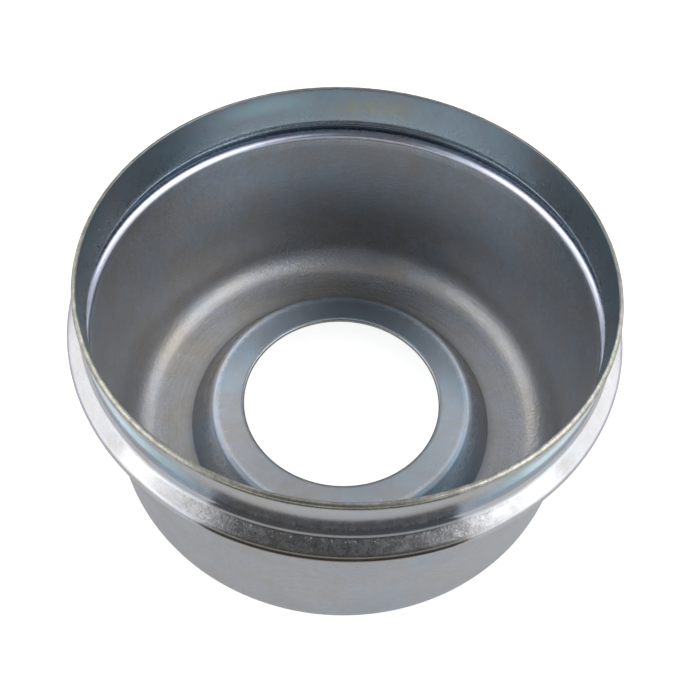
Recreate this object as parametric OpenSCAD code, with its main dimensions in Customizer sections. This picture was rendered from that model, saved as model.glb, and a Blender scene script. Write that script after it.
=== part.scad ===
// Drive-in hub grease cap, deep drawn from one sheet, in millimetres.
// The cap stands on its closed end at z = 0 with its axis on Z and its open end up.
// The section follows the one sheet from the plug hole, over the boss, floor, body and bead, to the cut lip.

/* [Sheet] */
// thickness of the sheet all along the section
sheet = 0.6; // [0.55:0.05:0.8]

/* [Lip] */
// outside diameter of the lip that is driven into the hub
lip_d = 62.1; // [61.5:0.1:62.6]
// straight height of the lip, from the centre of the crease to the cut edge
lip_h = 5.1; // [4:0.1:6.5]
// rounding of the outer corner of the cut edge
lip_edge_r = 0.5; // [0.2:0.05:0.5]
// outside radius of the crease between lip and bead
crease_r = 1.5; // [0.4:0.05:2]

/* [Bead] */
// outside diameter of the bead, the widest place of the cap
bead_d = 66.4; // [66:0.1:68]
// outside radius of the bead's nose
bead_r = 0.8; // [0.75:0.05:1.2]
// outside radius of the bend between bead and body
under_r = 0.5; // [0.3:0.05:0.7]

/* [Body] */
// whole height of the cap
total_h = 35.3; // [32:0.1:40]
// outside diameter of the body
body_d = 62.6; // [62.2:0.1:63.4]
// outside radius of the corner between body and closed end
corner_r = 5.6; // [4:0.1:7]

/* [Boss] */
// diameter of the boss where its wall meets the floor, inside face
boss_d = 43.8; // [42:0.1:46]
// height of the boss over the floor
boss_h = 4.5; // [3.4:0.1:5.4]
// rounding of the upper edge of the boss, inside face
boss_edge_r = 1.25; // [1.05:0.05:1.6]
// rounding at the foot of the boss, inside face
boss_foot_r = 0.3; // [0.2:0.05:0.6]

/* [Plug hole] */
// diameter of the round hole that takes a rubber plug
hole_d = 28.1; // [27:0.1:30]
// rounding of the upper edge of the hole
hole_edge_r = 0.2; // [0.1:0.05:0.35]

/* [Hidden] */
$fn = 120;

lip_r = lip_d / 2;
body_r = body_d / 2;
hole_r = hole_d / 2;
boss_top = sheet + boss_h;
// the boss wall climbs 4 for each 3 along, and the upper flank of the bead falls 3 for each 4 along
wall_slope = 4 / 3;
// directions square to the inside face of the boss wall and to the outside face of the flank
wall_a = atan2(3, 4);
flank_a = atan2(4, 3);
// centres of the bends, each as [radius, height]; half the wall's angle has the tangent 1 / 2
foot = [boss_d / 2 + boss_foot_r / 2, sheet + boss_foot_r];
edge = [boss_d / 2 - boss_h / wall_slope - boss_edge_r / 2, boss_top - boss_edge_r];
corner = [body_r - corner_r, corner_r];
crease = [lip_r + crease_r, total_h - lip_h];
// the drop from crease to nose at which one flank touches both
nose_r = bead_d / 2 - bead_r;
nose_drop = (crease_r + bead_r + 0.6 * (nose_r - crease[0])) / 0.8;
nose = [nose_r, crease[1] - nose_drop];
under = [body_r + under_r, nose[1] - bead_r - under_r];

// unit vector at angle a
function u(a) = [cos(a), sin(a)];

// the part of a disc round c between angles a1 and a2
module sector(c, r, a1, a2) {
    translate(c)
        intersection() {
            circle(r);
            polygon([[0, 0], for (k = [0 : 3]) 4 * r * u(a1 + (a2 - a1) * k / 3)]);
        }
}

// a bend of the sheet round c: the smaller radius r, first and last angle
module bend(c, r, a1, a2) {
    difference() {
        sector(c, r + sheet, a1, a2);
        translate(c) circle(r);
    }
}

// a straight run of the sheet with one face from p to q, which looks in direction a and has the metal on its left
module run(p, q, a) {
    polygon([p, q, q - sheet * u(a), p - sheet * u(a)]);
}

// the raised middle, from the plug hole to the foot of the boss
module boss_section() {
    translate([hole_r, boss_h]) square([hole_edge_r, sheet - hole_edge_r]);
    sector([hole_r + hole_edge_r, boss_top - hole_edge_r], hole_edge_r, 90, 180);
    run([edge[0], boss_top], [hole_r + hole_edge_r, boss_top], 90);
    bend(edge, boss_edge_r - sheet, wall_a, 90);
    run(foot - boss_foot_r * u(wall_a), edge + boss_edge_r * u(wall_a), wall_a);
    bend(foot, boss_foot_r, 180 + wall_a, 270);
}

// the flat ring that the cap stands on, the corner and the body wall
module body_section() {
    run([corner[0], sheet], [foot[0], sheet], 90);
    bend(corner, corner_r - sheet, 270, 360);
    run([body_r, corner[1]], [body_r, under[1]], 0);
}

// the hollow bead, from the body round its nose to the crease under the lip
module bead_section() {
    bend(under, under_r, 90, 180);
    run([under[0], under[1] + under_r], [nose[0], under[1] + under_r], 270);
    bend(nose, bead_r - sheet, -90, flank_a);
    run(nose + bead_r * u(flank_a), crease - crease_r * u(flank_a), flank_a);
    bend(crease, crease_r, 180, 180 + flank_a);
}

// the lip, with the outer corner of its cut edge rounded
module lip_section() {
    rounding = [lip_r - lip_edge_r, total_h - lip_edge_r];
    run([lip_r, crease[1]], [lip_r, rounding[1]], 0);
    translate([lip_r - sheet, rounding[1]]) square([sheet - lip_edge_r, lip_edge_r]);
    sector(rounding, lip_edge_r, 0, 90);
}

module grease_cap() {
    color([0.72, 0.74, 0.77])
        rotate_extrude()
            union() {
                boss_section();
                body_section();
                bead_section();
                lip_section();
            }
}

grease_cap();
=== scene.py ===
# %% [markdown]
# A grease cap for a wheel hub
#
# The cap is one piece of steel sheet, 0.6 mm thick, drawn in a press into a cup and then zinc plated.
# It closes the end of a hub: the plain lip is driven into the bore, the hollow bead stops it there, and
# the round hole in the closed end takes a rubber plug, through which the bearing is greased.
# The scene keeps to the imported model's frame: metres, the axis on Z, the closed end down at z = 0 and
# the open end up, as the cap lies on the table in the photograph.

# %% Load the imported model
from math import atan2, cos, pi, radians, sin, tan
import bpy
import numpy as np
from mathutils import Matrix, Vector


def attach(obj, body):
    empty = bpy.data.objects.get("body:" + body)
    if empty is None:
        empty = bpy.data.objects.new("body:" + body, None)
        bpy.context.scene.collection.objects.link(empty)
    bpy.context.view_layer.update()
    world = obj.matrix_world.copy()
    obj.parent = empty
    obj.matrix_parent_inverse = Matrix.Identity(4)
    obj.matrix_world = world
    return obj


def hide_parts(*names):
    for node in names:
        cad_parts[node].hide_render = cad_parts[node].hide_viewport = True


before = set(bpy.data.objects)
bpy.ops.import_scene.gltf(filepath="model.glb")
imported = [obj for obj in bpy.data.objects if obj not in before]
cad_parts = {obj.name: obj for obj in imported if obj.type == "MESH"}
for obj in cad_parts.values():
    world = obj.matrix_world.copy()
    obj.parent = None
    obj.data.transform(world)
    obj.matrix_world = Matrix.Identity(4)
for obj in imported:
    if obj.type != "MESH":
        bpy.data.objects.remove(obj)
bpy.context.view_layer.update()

# %% [markdown]
# The camera
#
# The photograph was taken from close by, from above and in front, with a slight roll.
# The place and the angles below were found by laying circles of the cap over the picture: the cut
# edge, the plug hole, the bead and the foot of the wall. Near objects seem larger from close by, so
# the distance matters as much as the angle, and a long lens from further away would not do.

# %% Set the camera
photo_size = 700
lens_in_pixels = 807.6
sensor_width = 36.0
camera_place = Vector((0.0, -0.062324, 0.103824))
pan = radians(0.6377)
pitch = radians(54.3915)
roll = radians(-4.0221)

forward = Vector((sin(pan) * cos(pitch), cos(pan) * cos(pitch), -sin(pitch)))
level_right = Vector((cos(pan), -sin(pan), 0.0))
level_down = forward.cross(level_right)
right = cos(roll) * level_right + sin(roll) * level_down
down = cos(roll) * level_down - sin(roll) * level_right

camera_data = bpy.data.cameras.new("camera")
camera_data.sensor_width = sensor_width
camera_data.lens = lens_in_pixels / photo_size * sensor_width
camera_data.clip_start = 0.005
camera_data.clip_end = 20.0
camera = bpy.data.objects.new("camera", camera_data)
turned = Matrix((right, -down, -forward)).transposed()
camera.matrix_world = Matrix.Translation(camera_place) @ turned.to_4x4()
bpy.context.collection.objects.link(camera)
bpy.context.scene.camera = camera
print("lens:", round(camera_data.lens, 3), "mm")

# %% [markdown]
# The section of the sheet
#
# Every drawn part is easiest to describe by its section: the one line that the sheet follows from the
# plug hole to the cut edge. Straight runs and round bends alternate, as the dies have them. A bend has
# one centre, and its two faces have radii that differ by the sheet's thickness.
# A stack of cylinders would also give the outline, but the sheet would not stay equally thick, and
# the light would break at each joint. So one closed profile is worked out, and is turned once.

# %% Sizes of the cap
mm = 0.001
sheet = 0.6 * mm
total_height = 35.3 * mm
lip_radius = 31.05 * mm
lip_height = 5.1 * mm
lip_edge = 0.5 * mm
crease_radius = 1.5 * mm
bead_width = 66.4 * mm
bead_nose = 0.8 * mm
under_radius = 0.5 * mm
body_radius = 31.3 * mm
corner_radius = 5.6 * mm
boss_width = 43.8 * mm
boss_height = 4.5 * mm
boss_edge = 1.25 * mm
boss_foot = 0.3 * mm
hole_radius = 14.05 * mm
hole_edge = 0.2 * mm
burr = 0.07 * mm
print("the cap is", round(2 * lip_radius / mm, 1), "mm across the lip and", total_height / mm, "mm high")

# %% Centres of the bends
# the boss wall climbs 4 for each 3 along, and the flank of the bead falls 3 for each 4 along; these are
# the directions square to them, and half the turn of each bend at the boss wall has the tangent 1 / 2
wall_angle = atan2(3, 4)
flank_angle = atan2(4, 3)
half_turn_tangent = 1 / 2
wall_along = boss_height * tan(wall_angle)
boss_top = sheet + boss_height
foot = np.array([boss_width / 2 + boss_foot * half_turn_tangent, sheet + boss_foot])
edge = np.array([boss_width / 2 - wall_along - boss_edge * half_turn_tangent, boss_top - boss_edge])
corner = np.array([body_radius - corner_radius, corner_radius])
crease = np.array([lip_radius + crease_radius, total_height - lip_height])
nose_out = bead_width / 2 - bead_nose
nose_drop = (crease_radius + bead_nose + cos(flank_angle) * (nose_out - crease[0])) / sin(flank_angle)
nose = np.array([nose_out, crease[1] - nose_drop])
under = np.array([body_radius + under_radius, nose[1] - bead_nose - under_radius])
centres = np.array([foot, edge, corner, under, nose, crease]) / mm
print("centres of the bends in mm:", np.round(centres, 3).tolist())

# %% Runs and bends of the section
def bend(centre, radius, first, last, count):
    """Points on a circle: centre plus radius times the cosine and sine of angles first to last."""
    angle = np.linspace(first, last, count)
    return centre + radius * np.stack([np.cos(angle), np.sin(angle)], axis=1)


def spacing(count):
    """Shares of a straight at its inner points: half of 1 minus a cosine, so they gather near its ends.
    The close first and last points keep the smooth shading of the bends out of the flat part."""
    return 0.5 - 0.5 * np.cos(np.linspace(0.0, pi, count + 2)[1:-1])


def run(start, end, count):
    """Inner points of a straight: start plus a share of the way to the end."""
    return start + spacing(count)[:, None] * (end - start)


def face(inside):
    """One face of the sheet from the hole to the lip: bends joined by straights."""
    near = 0.0 if inside else sheet
    quarter = pi / 2
    turns = [
        bend(edge, boss_edge - near, quarter, wall_angle, 9),
        bend(foot, boss_foot + near, pi + wall_angle, 3 * quarter, 6),
        bend(corner, corner_radius - sheet + near, -quarter, 0.0, 15),
        bend(under, under_radius + sheet - near, pi, quarter, 11),
        bend(nose, bead_nose - sheet + near, -quarter, flank_angle, 15),
        bend(crease, crease_radius + sheet - near, pi + flank_angle, pi, 11),
    ]
    run_counts = [3, 3, 5, 2, 3]
    line = [turns[0]]
    for before, after, count in zip(turns[:-1], turns[1:], run_counts):
        line += [run(before[-1], after[0], count), after]
    return np.concatenate(line)


def length_along(line):
    """Distance along a line of points, from its first point."""
    return np.concatenate([[0.0], np.cumsum(np.linalg.norm(np.diff(line, axis=0), axis=1))])


inner = face(True)
outer = face(False)
print("points on one face:", len(inner))

# %% Close the section at the hole and at the cut
lip_inside = lip_radius - sheet
top_count = 4
lip_count = 5
cut_inner = bend(np.array([lip_inside + burr, total_height - burr]), burr, pi, pi / 2, 4)
cut_outer = bend(np.array([lip_radius - lip_edge, total_height - lip_edge]), lip_edge, pi / 2, 0.0, 8)
hole_top = bend(np.array([hole_radius + hole_edge, boss_top - hole_edge]), hole_edge, pi, pi / 2, 5)
hole_low = bend(np.array([hole_radius + burr, boss_height + burr]), burr, 3 * pi / 2, pi, 4)
profile = np.concatenate([
    hole_low, hole_top, run(hole_top[-1], inner[0], top_count), inner,
    run(inner[-1], cut_inner[0], lip_count), cut_inner, cut_outer,
    run(cut_outer[-1], outer[-1], lip_count), outer[::-1], run(outer[0], hole_low[0], top_count),
])
print("points round the section:", len(profile))

# %% [markdown]
# Three numbers on each point
#
# Marks, colour and shine change with the place on the sheet, because each zone went over another part
# of the tool. So every point of the section keeps how far along the sheet it lies, whether it is on the
# outer face, and whether it is on metal that was sheared by the punch or by the trimming die.
# Height or radius alone would not do, as the lip, the bead and the wall share both.

# %% Where each point lies on the sheet
plateau = np.linalg.norm(inner[0] - hole_top[-1])
way = plateau + length_along(inner)
way_end = way[-1] + cut_inner[0][1] - inner[-1][1]


def between(first, last, count):
    """Values at the points of a run: the first plus the same share of the change to the last."""
    return first + spacing(count) * (last - first)


hole_points = len(hole_low) + len(hole_top)
cut_points = len(cut_inner) + len(cut_outer)
face_points = top_count + len(way) + lip_count
along = np.concatenate([
    np.zeros(hole_points), between(0.0, way[0], top_count), way,
    between(way[-1], way_end, lip_count), np.full(cut_points, way_end),
    between(way_end, way[-1], lip_count), way[::-1], between(way[0], 0.0, top_count),
]) / mm
outside = np.concatenate([
    np.zeros(hole_points + face_points), np.linspace(0, 1, cut_points), np.ones(face_points)])
punched = len(hole_low) + 2
sheared = np.concatenate([
    np.ones(punched), np.zeros(hole_points - punched + face_points),
    [0, 0.5], np.ones(cut_points - 3), [0.4], np.zeros(face_points)])
print("profile:", len(profile), len(along), len(outside), len(sheared), "points")
stations = np.round([way[0] / mm, way[-1] / mm, way_end / mm], 2).tolist()
print("sheet in mm, boss, crease and lip end:", stations)

# %% [markdown]
# Turning the section
#
# A turned piece is a function of two parameters: the place along the profile and the angle round the
# axis. The whole grid of points is one array, and the three numbers are kept on it as attributes.
# The trimming die leaves the cut edge a little uneven, so its height is not the same all round. That
# belongs in the mesh, because the edge is seen against what lies behind it.

# %% The turned surface
steps = 470
cut_zone = 0.3 * mm
deepest = 0.15 * mm
wave_depth = 0.02 * mm
burr_depth = 0.035 * mm
rounded_part = 0.35 * mm
burr_fade = 0.4 * mm
rng = np.random.default_rng(7)


def uneven(angle, turns, waves):
    """Sum of sine waves round the axis, over the root of their number: sin(number * angle + phase),
    with a whole number of turns for each."""
    number = rng.integers(turns[0], turns[1], waves)
    phase = rng.uniform(0, 2 * pi, waves)
    return np.sin(angle[:, None] * number + phase).sum(axis=1) / np.sqrt(waves)


turn = np.arange(steps) * 2 * pi / steps
low_waves = uneven(turn, (2, 9), 4)
burrs = uneven(turn, (90, 250), 24)
radius = np.repeat(profile[:, 0][:, None], steps, axis=1)
height = np.repeat(profile[:, 1][:, None], steps, axis=1)
near_cut = np.clip((height - total_height + cut_zone) / cut_zone, 0.0, 1.0)
inner_side = np.clip((lip_radius - rounded_part - radius) / burr_fade, 0.0, 1.0)
sink = wave_depth * (1.2 - low_waves) + burr_depth * np.abs(burrs) * inner_side
dip = np.clip(sink, 0.0, deepest)
height = height - near_cut * dip
place = np.stack([radius * np.sin(turn), radius * np.cos(turn), height], axis=2)
print("deepest dip of the cut:", round(float(dip.max()) / mm, 3), "mm")

# %% Faces between the points
rows = len(profile)
row = np.arange(rows)[:, None] * steps
next_row = np.roll(row, -1, axis=0)
step = np.arange(steps)
next_step = np.roll(step, -1)
faces = np.stack([row + step, row + next_step, next_row + next_step, next_row + step], axis=2)
faces = faces.reshape(-1, 4)
print("faces:", len(faces), "so", 2 * len(faces), "triangles")

# %% Put the surface into a mesh
mesh = bpy.data.meshes.new("grease_cap_sheet")
mesh.vertices.add(rows * steps)
mesh.vertices.foreach_set("co", place.astype(np.float32).ravel())
mesh.loops.add(faces.size)
mesh.loops.foreach_set("vertex_index", faces.astype(np.int32).ravel())
mesh.polygons.add(len(faces))
mesh.polygons.foreach_set("loop_start", np.arange(0, faces.size, 4, dtype=np.int32))
mesh.polygons.foreach_set("use_smooth", np.ones(len(faces), dtype=bool))
mesh.update(calc_edges=True)
mesh.validate()
cap = bpy.data.objects.new("grease_cap_sheet", mesh)
bpy.context.collection.objects.link(cap)
print("mesh:", len(mesh.vertices), "points and", len(mesh.polygons), "faces")

# %% Which way the faces look
normals = np.zeros(3 * len(faces), dtype=np.float32)
mesh.polygon_normals.foreach_get("vector", normals)
middles = np.zeros(3 * len(faces), dtype=np.float32)
mesh.polygons.foreach_get("center", middles)
areas = np.zeros(len(faces), dtype=np.float32)
mesh.polygons.foreach_get("area", areas)
volume = (normals.reshape(-1, 3) * middles.reshape(-1, 3)).sum(axis=1) @ areas / 3
print("volume:", round(float(volume) / mm ** 3, 1), "mm3, above zero when the faces point outwards")

# %% Keep the numbers and hand the cap over
for name, values in (("along", along), ("outside", outside), ("sheared", sheared)):
    layer = mesh.attributes.new(name, "FLOAT", "POINT")
    layer.data.foreach_set("value", np.repeat(values, steps).astype(np.float32))
    print("attribute", name, "from", round(float(values.min()), 3), "to", round(float(values.max()), 3))

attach(cap, "root")
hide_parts("grease_cap")

# %% [markdown]
# Shader sums as plain Python
#
# The finish is a sum of many patterns. Drawn by hand each of them is a chain of boxes and wires.
# Here one small class wraps an output of a node, so that a plus or a times adds the Math node and a
# formula can be read as a formula. Every other node but the output comes from one method, which sets
# the node's own choices first and its sockets afterwards.

# %% The wire class
class Wire:
    """An output of a shader node that can be used in sums."""

    def __init__(self, tree, socket=None):
        self.tree = tree
        self.socket = socket

    def make(self, kind, choices=None, sockets=None, out=0):
        """Adds a node, sets its choices, then its sockets, and returns the chosen output."""
        node = self.tree.nodes.new(kind)
        for name, value in (choices or {}).items():
            if name == "stops":
                self.set_stops(node.color_ramp, value)
            else:
                setattr(node, name, value)
        for name, value in (sockets or {}).items():
            if isinstance(value, Wire):
                self.tree.links.new(value.socket, node.inputs[name])
            else:
                node.inputs[name].default_value = value
        return Wire(self.tree, node.outputs[out])

    @staticmethod
    def set_stops(ramp, stops):
        """Gives a ramp its stops, each a place and a grey value or a colour."""
        while len(ramp.elements) < len(stops):
            ramp.elements.new(1.0)
        for element, (place, value) in zip(ramp.elements, stops):
            element.position = place
            element.color = value if isinstance(value, tuple) else (value, value, value, 1.0)

    def maths(self, how, first, second=0.0):
        """A Math node on one or two values."""
        return self.make("ShaderNodeMath", {"operation": how}, {0: first, 1: second})

    def __add__(self, other):
        return self.maths("ADD", self, other)

    __radd__ = __add__

    def __sub__(self, other):
        return self.maths("SUBTRACT", self, other)

    def __rsub__(self, other):
        return self.maths("SUBTRACT", other, self)

    def __mul__(self, other):
        return self.maths("MULTIPLY", self, other)

    __rmul__ = __mul__

    def __truediv__(self, other):
        return self.maths("DIVIDE", self, other)

    def __pow__(self, other):
        return self.maths("POWER", self, other)

    def __abs__(self):
        return self.maths("ABSOLUTE", self)

    def smallest(self, other):
        """The smaller of this value and another."""
        return self.maths("MINIMUM", self, other)

    def step(self, low, high):
        """0 below low, 1 above high and a smooth change between; it falls where high is lower."""
        return self.make(
            "ShaderNodeMapRange", {"interpolation_type": "SMOOTHSTEP"},
            {"Value": self, "From Min": low, "From Max": high, "To Min": 0.0, "To Max": 1.0})

    def band(self, low, high, soft):
        """1 between low and high, with soft ends."""
        return self.step(low - soft, low + soft) * self.step(high + soft, high - soft)

    def ramp(self, stops):
        """The value's colour on a ramp."""
        return self.make("ShaderNodeValToRGB", {"stops": stops}, {"Fac": self})

    def blend(self, low, high):
        """A colour from low to high by this value."""
        return self.make(
            "ShaderNodeMix", {"data_type": "RGBA"}, {"Factor": self, 6: low, 7: high}, out=2)

    def times(self, other):
        """This colour times another."""
        return self.make(
            "ShaderNodeMix", {"data_type": "RGBA", "blend_type": "MULTIPLY"},
            {"Factor": 1.0, 6: self, 7: other}, out=2)

    def grey(self):
        """A colour with this value in each of its three parts."""
        return self.make("ShaderNodeCombineColor", None, {0: self, 1: self, 2: self})

    def noise(self, scale, detail=2.0, rough=0.5):
        """Noise from 0 to 1 with 0.5 in the middle, read at this vector."""
        return self.make(
            "ShaderNodeTexNoise", {"noise_dimensions": "3D"},
            {"Vector": self, "Scale": scale, "Detail": detail, "Roughness": rough})

    def to_surface(self, kind="ShaderNodeOutputMaterial"):
        """Makes this shader the surface of its tree."""
        end = self.tree.nodes.new(kind)
        self.tree.links.new(self.socket, end.inputs["Surface"])


# %% Empty materials and kinds of ray
def empty_material(name):
    """A material without nodes, and the wire on its tree that makes the first ones."""
    material = bpy.data.materials.new(name)
    material.use_nodes = True
    material.node_tree.nodes.clear()
    return material, Wire(material.node_tree)


def seen_as_white(wire, in_metal):
    """1 for a ray from the camera or through glass, and in_metal for one that a mirror sends on:
    camera + glossy * in_metal + transmission."""
    camera_ray, glossy_ray, glass_ray = [
        wire.make("ShaderNodeLightPath", out=kind)
        for kind in ("Is Camera Ray", "Is Glossy Ray", "Is Transmission Ray")]
    return camera_ray + glossy_ray * in_metal + glass_ray


# %% [markdown]
# Zinc on drawn steel
#
# Zinc plate with a clear passivation is a thin bright metal skin that copies the steel under it, so
# the tools' marks show: a fine weave on the walls where the sheet slid over the die, rings on the
# floor, and a grain like orange peel on the floor and in its corner, where the sheet was stretched.
# The film over the zinc is so thin that it tints what it reflects, bluish in most places and warmer
# in some. The light cyan on the lip is a painted highlight, and some zones are painted lighter as
# painted highlights and some darker as painted shade. The front of the bead is rubbed, with light
# specks, the cut edge is bare steel, and the outer wall has a few brown lines and spots.
# A picture of metal could be wrapped round the cap, but it would stretch in the bends. Patterns worked
# out from the place on the sheet stay true to scale and cost nothing to store.

# %% Places for the patterns
zinc, start = empty_material("zinc_plate")
place_m = start.make("ShaderNodeTexCoord", out="Object")
place_mm = start.make("ShaderNodeVectorMath", {"operation": "SCALE"}, {0: place_m, "Scale": 1000.0})
x, y, z = [start.make("ShaderNodeSeparateXYZ", None, {0: place_mm}, out=name) for name in "XYZ"]
from_axis = (x * x + y * y) ** 0.5
front = 0.0 - y / from_axis
side = x / from_axis


def attribute(name):
    """One of the numbers that the mesh keeps on its points."""
    return start.make("ShaderNodeAttribute", {"attribute_name": name}, out="Fac")


on_sheet = attribute("along")
out_face = attribute("outside")
cut_face = attribute("sheared")
in_face = 1.0 - out_face
ramp_length = 54.0
share_of_sheet = on_sheet / ramp_length


def vector(first, second, third):
    """A vector from three values."""
    return start.make("ShaderNodeCombineXYZ", None, {0: first, 1: second, 2: third})


def nodes_so_far(after):
    """Prints how many nodes the zinc has."""
    print("nodes after", after + ":", len(zinc.node_tree.nodes))


nodes_so_far("places")

# %% Patterns of the tools
streaks = vector(x, y, z * 0.035).noise(1.3, 3.0, 0.6)
weave = vector(x * 0.5, y * 0.5, z * 1.4).noise(2.6, 3.0, 0.6)
rings = vector(from_axis * 2.2, x * 0.04, y * 0.04).noise(1.0, 3.0, 0.6)
grain = place_mm.noise(4.5, 3.0, 0.6)
pebbles = place_mm.noise(1.7, 3.0, 0.6)
clouds = place_mm.noise(0.09, 2.0, 0.5)
patches = place_mm.noise(0.22, 3.0, 0.6)
mottle = place_mm.noise(0.9, 4.0, 0.65)
nodes_so_far("patterns")

# %% Zones of the sheet, in millimetres along it
wall = on_sheet.band(22.0, 41.5, 0.6)
floor_zone = on_sheet.band(9.9, 15.0, 0.8)
corner_zone = on_sheet.band(13.6, 22.0, 1.2)
bend_zone = on_sheet.band(41.8, 43.5, 0.3)
boss_wall = on_sheet.band(4.0, 9.8, 0.4)
flank = on_sheet.band(44.9, 46.6, 0.2)
nose_line = on_sheet.band(43.4, 44.8, 0.15)
outer_wall = on_sheet.band(20.0, 42.0, 0.5) * out_face
near_side = front.step(-0.2, 0.5)
right_side = side.step(-1.0, 0.4)
brown_nose = nose_line * out_face * front.step(0.88, 0.98)
worn_bead = flank * out_face * front.step(0.8, 0.99)
nodes_so_far("zones")

# %% [markdown]
# The colour of the film
#
# A thin clear film on zinc shows the colours of its thickness: brown where it is thin, then bluish, then
# cyan. So the film is one number, which a ramp turns into a tint, and the tint multiplies how bright the
# zinc is. Clouds and patches move that number about, as the bath did.
# Some places are coloured on top: the painted glints on the lip, a violet line under the bead inside,
# and a faint pink at the sides.

# %% Colour of the film
film_inside = share_of_sheet.ramp([
    (0.0, 0.58), (0.068, 0.55), (0.08, 0.3), (0.18, 0.25), (0.2, 0.08), (0.26, 0.14), (0.4, 0.36),
    (0.6, 0.52), (0.76, 0.48), (0.79, 0.55), (0.82, 0.75), (0.9, 0.88)])
film_inside = film_inside + right_side * (floor_zone * 0.22 + corner_zone * 0.1 + wall * 0.12)
film_inside = film_inside + near_side * boss_wall * 0.5
film_outside = 0.48 - flank * 0.1 - brown_nose * 0.7
film = film_inside * in_face + film_outside * out_face
drift = ((clouds - 0.5) * 0.9 + (patches - 0.5) * 0.9) * (1.0 - flank * 0.75)
film = film + drift + (mottle - 0.5) * 0.3
tint = film.ramp([
    (0.0, (1.07, 1.0, 0.91, 1.0)), (0.35, (1.0, 1.0, 1.03, 1.0)), (0.7, (0.9, 1.0, 1.12, 1.0)),
    (1.0, (0.78, 1.0, 1.14, 1.0))])
nodes_so_far("the film")

# %% Places with a colour of their own, and painted glints
violet = bend_zone * on_sheet.step(42.3, 42.9)
tint = (violet * in_face * 0.4).blend(tint, (0.98, 0.92, 1.32, 1.0))
near_lip = near_side * out_face
# The outer and inner glints are painted highlights: the lip is painted light cyan on the parts that face
# the camera
painted_outer_glint = abs(side).band(0.5, 0.97, 0.1) * on_sheet.band(49.8, 52.2, 0.7) * near_lip
far_lip = front.step(-0.5, -0.75) * in_face
painted_inner_glint = side.band(-0.6, -0.26, 0.12) * on_sheet.band(50.6, 52.8, 0.8) * far_lip
# The outer blue band is a painted reflection: a darker blue band on the near lip, below the outer glint
painted_blue_reflection = abs(side).band(0.4, 0.93, 0.12) * on_sheet.band(48.6, 50.4, 0.6) * near_lip
yellow = side.band(-0.1, 0.22, 0.06) * on_sheet.band(49.2, 51.6, 0.6) * far_lip
painted_glint = painted_outer_glint + painted_inner_glint * 0.7
tint = (yellow * mottle.step(0.35, 0.6) * 0.8).blend(tint, (0.93, 1.0, 0.85, 1.0))
pink = outer_wall * side.step(-0.55, -0.85) * 0.5 + nose_line * out_face * abs(side).step(0.6, 0.9)
tint = pink.smallest(1.0).blend(tint, (1.02, 0.95, 1.12, 1.0))
nodes_so_far("the coloured places")

# %% How bright the zinc is, with painted highlights and painted shade
# The dark line at the top of the inner wall, just below the bend under the bead, is painted shade broken
# up by the grain
painted_dark_line = on_sheet.band(41.5, 42.1, 0.15) * grain.step(0.4, 0.6) * in_face
# The inner tone along the sheet holds painted light: painted highlights on the boss edge and on the bend
# under the bead, and painted shade at the foot of the boss and in the hollow of the bead
tone_and_painted_light_inside = share_of_sheet.ramp([
    (0.0, 0.5), (0.06, 0.52), (0.075, 0.9), (0.095, 0.54), (0.175, 0.48), (0.185, 0.36), (0.2, 0.48),
    (0.26, 0.48), (0.38, 0.52), (0.76, 0.52), (0.782, 0.78), (0.805, 0.74), (0.815, 0.36), (0.85, 0.38),
    (0.87, 0.6), (1.0, 0.64)])
# on the outer face the bead is painted lighter than the wall, a painted highlight
tone_and_painted_light_outside = share_of_sheet.ramp([
    (0.38, 0.54), (0.79, 0.54), (0.82, 0.62), (0.88, 0.62), (0.92, 0.54)])
tone_and_painted_light = tone_and_painted_light_inside * in_face + tone_and_painted_light_outside * out_face
drawn = (streaks - 0.5) * wall * 0.06 + (weave - 0.5) * wall * 0.3
turned = (rings - 0.5) * floor_zone * 0.35
# random tone, grain and wear, less the painted shade of the dark line under the bead and a darker,
# browner front of the nose
marks_and_painted_shade = (mottle - 0.5) * (0.25 + worn_bead * 1.2) + (patches - 0.5) * 0.3
marks_and_painted_shade = marks_and_painted_shade + (grain - 0.5) * (floor_zone * 0.5 + corner_zone * 0.4 + worn_bead * 1.6)
marks_and_painted_shade = marks_and_painted_shade - painted_dark_line * 0.25 - brown_nose * 0.5
level = tone_and_painted_light * (1.0 + drawn + turned + marks_and_painted_shade)
plated = level.grey().times(tint)
# the blue band on the near lip is laid on here as a painted reflection
plated = (painted_blue_reflection * 0.9).blend(plated, (0.36, 0.56, 0.76, 1.0))
# the glints on the lip are laid over the zinc here as painted highlights
plated = painted_glint.blend(plated, (0.66, 0.95, 1.0, 1.0))
nodes_so_far("the shade")

# %% [markdown]
# Stains, bare steel and specks
#
# Water leaves brown lines and spots on the outer wall. The cut edge has the rough face that a trimming
# die leaves and looks like bare steel. Light specks sit along the rubbed front of the bead.
# None of them stands out from the surface by as much as a pixel, so they are colour and not mesh. The
# lines are where a broad noise passes its middle value, which gives thin closed curves, and patches of
# another noise leave only parts of them.

# %% Stains on the outer wall
lines = abs(place_mm.noise(0.3, 2.0, 0.5) - 0.5).step(0.012, 0.003) * patches.step(0.5, 0.58)
spots = mottle.step(0.6, 0.72) * clouds.step(0.48, 0.56)
stains = ((lines + spots) * outer_wall).smallest(1.0) * 0.4
plated = stains.blend(plated, (0.5, 0.39, 0.25, 1.0))
nodes_so_far("the stains")

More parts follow.
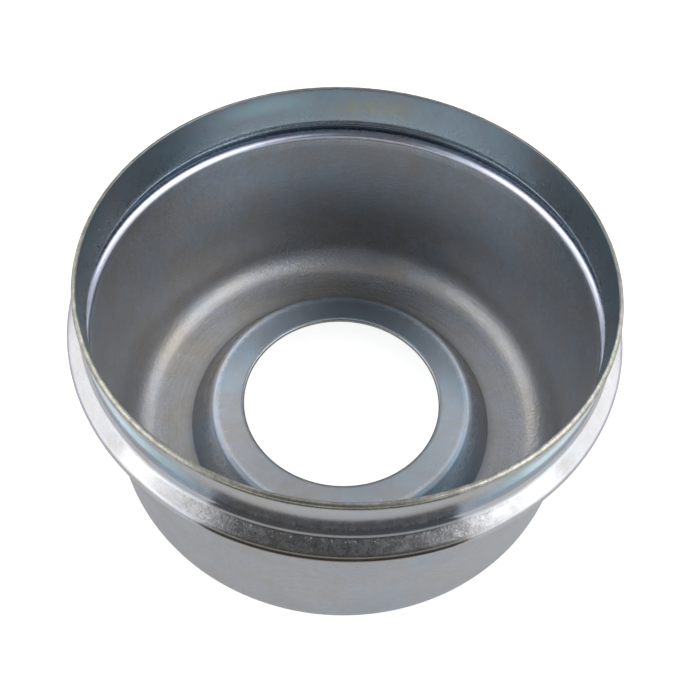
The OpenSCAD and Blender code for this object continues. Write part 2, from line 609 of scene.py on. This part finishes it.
# %% Cut edge and specks
bare = (mottle * 0.6 + grain * 0.4).step(0.4, 0.6)
steel = bare.blend((0.52, 0.51, 0.44, 1.0), (0.3, 0.29, 0.24, 1.0))
base = (cut_face * 0.85).blend(plated, steel)
speck_line = on_sheet.band(46.15, 46.45, 0.1) * pebbles.step(0.48, 0.56)
speck_line = speck_line + on_sheet.band(44.9, 46.2, 0.1) * pebbles.step(0.64, 0.7)
specks = grain.step(0.52, 0.6) * (speck_line * out_face * front.step(0.8, 0.93)).smallest(1.0)
base = (specks * 0.8).blend(base, (0.42, 0.41, 0.3, 1.0))
nodes_so_far("the specks")

# %% [markdown]
# Shine and relief
#
# The lip and the bead were ironed by the die and are the smoothest. The floor and its corner were
# stretched free of the tool and are rougher. The relief is one or two hundredths of a millimetre high,
# so it goes through a Bump node: it is far too small for the mesh.

# %% Roughness
rough_inside = share_of_sheet.ramp([
    (0.0, 0.25), (0.06, 0.26), (0.075, 0.31), (0.12, 0.26), (0.18, 0.42), (0.3, 0.36), (0.42, 0.38),
    (0.75, 0.38), (0.785, 0.34), (0.81, 0.26), (1.0, 0.3)])
rough_outside = share_of_sheet.ramp([(0.4, 0.32), (0.75, 0.3), (0.79, 0.2), (0.9, 0.15), (1.0, 0.14)])
roughness = rough_inside * in_face + rough_outside * out_face
roughness = roughness + (mottle - 0.5) * 0.1 + worn_bead * 0.1 + cut_face * 0.12
nodes_so_far("the roughness")

# %% Relief and the finished zinc
relief_unit = 0.004 * mm
relief = grain * (0.5 + corner_zone * 14.0 + floor_zone * 12.0 + cut_face * 6.0 + worn_bead * 2.5)
relief = relief + pebbles * (corner_zone * 16.0 + floor_zone * 16.0 + flank * 1.0 + worn_bead * 2.0)
relief = relief + weave * wall * 16.0 + rings * floor_zone * 14.0
bumps = start.make(
    "ShaderNodeBump", None, {"Height": relief, "Strength": 1.0, "Distance": relief_unit})

shader = start.make(
    "ShaderNodeBsdfPrincipled", None,
    {"Base Color": base, "Metallic": 1.0 - specks * 0.9, "Roughness": roughness, "Normal": bumps})
shader.to_surface()
mesh.materials.append(zinc)
nodes_so_far("all of it")

# %% [markdown]
# The studio
#
# Metal is seen by what it reflects. The photograph shows two large soft boxes at the sides, weaker
# light behind and above, and a dark front, where the camera and the photographer stand.
# The floor and the world are white to the camera, which keeps the background white without more
# light on the cap, and the floor keeps the cap's shadow. The metal sees the floor's own glow at three
# tenths, because a fully white floor made the lip and the body paler than they are in the photograph.

# %% Floor
half_floor = 3
floor_mesh = bpy.data.meshes.new("floor")
floor_corners = [(-half_floor, -half_floor, 0), (half_floor, -half_floor, 0)]
floor_corners += [(half_floor, half_floor, 0), (-half_floor, half_floor, 0)]
floor_mesh.from_pydata(floor_corners, [], [(0, 1, 2, 3)])
floor = bpy.data.objects.new("floor", floor_mesh)
bpy.context.collection.objects.link(floor)
paper, on_paper = empty_material("paper")
paper_shader = on_paper.make(
    "ShaderNodeBsdfPrincipled", None,
    {"Base Color": (0.5, 0.5, 0.5, 1.0), "Roughness": 0.9,
     "Emission Color": seen_as_white(on_paper, 0.3).grey(), "Emission Strength": 0.85})
paper_shader.to_surface()
floor_mesh.materials.append(paper)
print("floor:", 2 * half_floor, "m wide")

# %% [markdown]
# The lamps
#
# Each lamp is placed by its direction from the cap and by how bright it looks there. The two big boxes
# make the bright bands on the bead and in the corner. The back and top lamps are what the flat floor
# and the boss mirror towards the camera, and the middle and front ones light the outer wall, the lip
# and the bead. A lamp does not hide the world behind it, so the low panels, which stand in front of
# the white world, are weak ones.

# %% Lamps
lamp_distance = 0.9


def soft_box(name, azimuth, elevation, wide, high, bright):
    """A flat lamp that faces the cap: its energy is pi times its area times how bright it looks."""
    away = Vector((
        sin(radians(azimuth)) * cos(radians(elevation)), cos(radians(azimuth)) * cos(radians(elevation)),
        sin(radians(elevation))))
    data = bpy.data.lights.new(name, "AREA")
    data.shape = "RECTANGLE"
    data.size = wide
    data.size_y = high
    data.energy = bright * pi * wide * high
    lamp = bpy.data.objects.new(name, data)
    facing = away.to_track_quat("Z", "Y").to_matrix().to_4x4()
    lamp.matrix_world = Matrix.Translation(away * lamp_distance) @ facing
    lamp.visible_camera = False
    bpy.context.collection.objects.link(lamp)
    return lamp


lamps = [
    soft_box("left_box", -80, 45, 0.94, 0.34, 2.4),
    soft_box("right_box", 88, 47, 1.08, 0.38, 2.8),
    soft_box("left_panel", -86, 10, 1.00, 0.36, 0.3),
    soft_box("right_panel", 86, 10, 1.00, 0.36, 0.4),
    soft_box("left_middle", -122, 28, 0.50, 0.28, 0.9),
    soft_box("right_middle", 120, 28, 0.50, 0.28, 0.8),
    soft_box("back_top", 0, 68, 0.80, 0.22, 0.55),
    soft_box("back_left", -22, 55, 0.26, 0.20, 0.85),
    soft_box("back_right", 22, 55, 0.26, 0.20, 0.85),
    soft_box("top", 0, 88, 0.50, 0.26, 0.8),
    soft_box("front_right_box", 140, 54, 0.35, 0.22, 0.9),
    soft_box("front_left_box", -125, 53, 0.30, 0.22, 0.9),
]
for lamp in lamps:
    print(lamp.name, "at", np.round(lamp.location, 3).tolist(), "energy", round(lamp.data.energy, 2))

# %% World
world = bpy.data.worlds.new("world")
world.use_nodes = True
bpy.context.scene.world = world
world.node_tree.nodes.clear()
tent = Wire(world.node_tree)
dim = 0.2
white_or_dim = seen_as_white(tent, 1.0) * (1.0 - dim) + dim
sky = tent.make("ShaderNodeBackground", None, {"Color": white_or_dim.grey(), "Strength": 1.0})
sky.to_surface("ShaderNodeOutputWorld")
print("the world lights the cap at", dim, "and is white where it is seen")

# %% [markdown]
# What the metal sees of the dark
#
# Polished metal needs dark things as much as lamps, or it looks like grey paint. A dark hood hides the
# white world above its lower edge, and two small curved cards stand for the dark front, where the
# camera is: the low one darkens the lip and the bead, and the upper one leaves a lighter line.
# Only the metal sees the hood and the cards. They light nothing and cast no shadow.

# %% Dark hood
def unlit(thing, colour):
    """Gives a thing one plain colour, which only the metal reflects."""
    paint, on_paint = empty_material(thing.name)
    on_paint.make("ShaderNodeEmission", None, {"Color": colour, "Strength": 1.0}).to_surface()
    thing.data.materials.append(paint)
    thing.visible_camera = False
    thing.visible_diffuse = False
    thing.visible_transmission = False
    thing.visible_shadow = False


# the hood's lower edge is 18 degrees up, and rises by 16 in a bell shape round 95 to each side
hood_radius = 1.3
hood_columns = 36
hood_rows = 8
hood_azimuth = np.arange(hood_columns) * 360 / hood_columns - 180
hood_low = 18 + 16 * np.exp(-((np.abs(hood_azimuth) - 95) / 30) ** 2)
hood_tilt = np.radians(hood_low + (90 - hood_low) * np.linspace(0, 1, hood_rows)[:, None])
hood_turn = np.radians(hood_azimuth)
hood_place = hood_radius * np.stack([
    np.sin(hood_turn) * np.cos(hood_tilt), np.cos(hood_turn) * np.cos(hood_tilt),
    np.sin(hood_tilt)], axis=2)
column = np.arange(hood_columns)
hood_cell = np.stack([
    column, np.roll(column, -1), np.roll(column, -1) + hood_columns, column + hood_columns], axis=1)
hood_faces = (np.arange(hood_rows - 1)[:, None, None] * hood_columns + hood_cell).reshape(-1, 4).tolist()
hood_mesh = bpy.data.meshes.new("dark_hood")
hood_mesh.from_pydata(hood_place.reshape(-1, 3).tolist(), [], hood_faces)
hood = bpy.data.objects.new("dark_hood", hood_mesh)
bpy.context.collection.objects.link(hood)
unlit(hood, (0.06, 0.06, 0.06, 1.0))
print("hood's lower edge in degrees:", round(hood_low.min(), 1), "to", round(hood_low.max(), 1))

# %% Cards in front
card_radius = 0.053
card_columns = 15


def front_card(name, low, high, grey):
    """A curved card round the front, on a circle round the axis, from height low to height high."""
    angle = np.radians(np.linspace(149, 211, card_columns))
    line = card_radius * np.stack([np.sin(angle), np.cos(angle)], axis=1)
    points = np.concatenate([
        np.c_[line, np.full(card_columns, low)], np.c_[line, np.full(card_columns, high)]])
    first = np.arange(card_columns - 1)
    cells = np.stack([first, first + 1, first + 1 + card_columns, first + card_columns], axis=1)
    card_mesh = bpy.data.meshes.new(name)
    card_mesh.from_pydata(points.tolist(), [], cells.tolist())
    card = bpy.data.objects.new(name, card_mesh)
    bpy.context.collection.objects.link(card)
    unlit(card, (grey, grey, grey, 1.0))
    print(name, "from", low, "to", high, "m, grey", grey)


front_card("low_card", 0.0005, 0.0285, 0.09)
front_card("high_card", 0.0285, 0.036, 0.42)

# %% [markdown]
# The view and the finish
#
# The Standard view shows a colour as it is written, so the zinc and the white paper need no correction.

# %% Standard view
bpy.context.scene.view_settings.view_transform = "Standard"
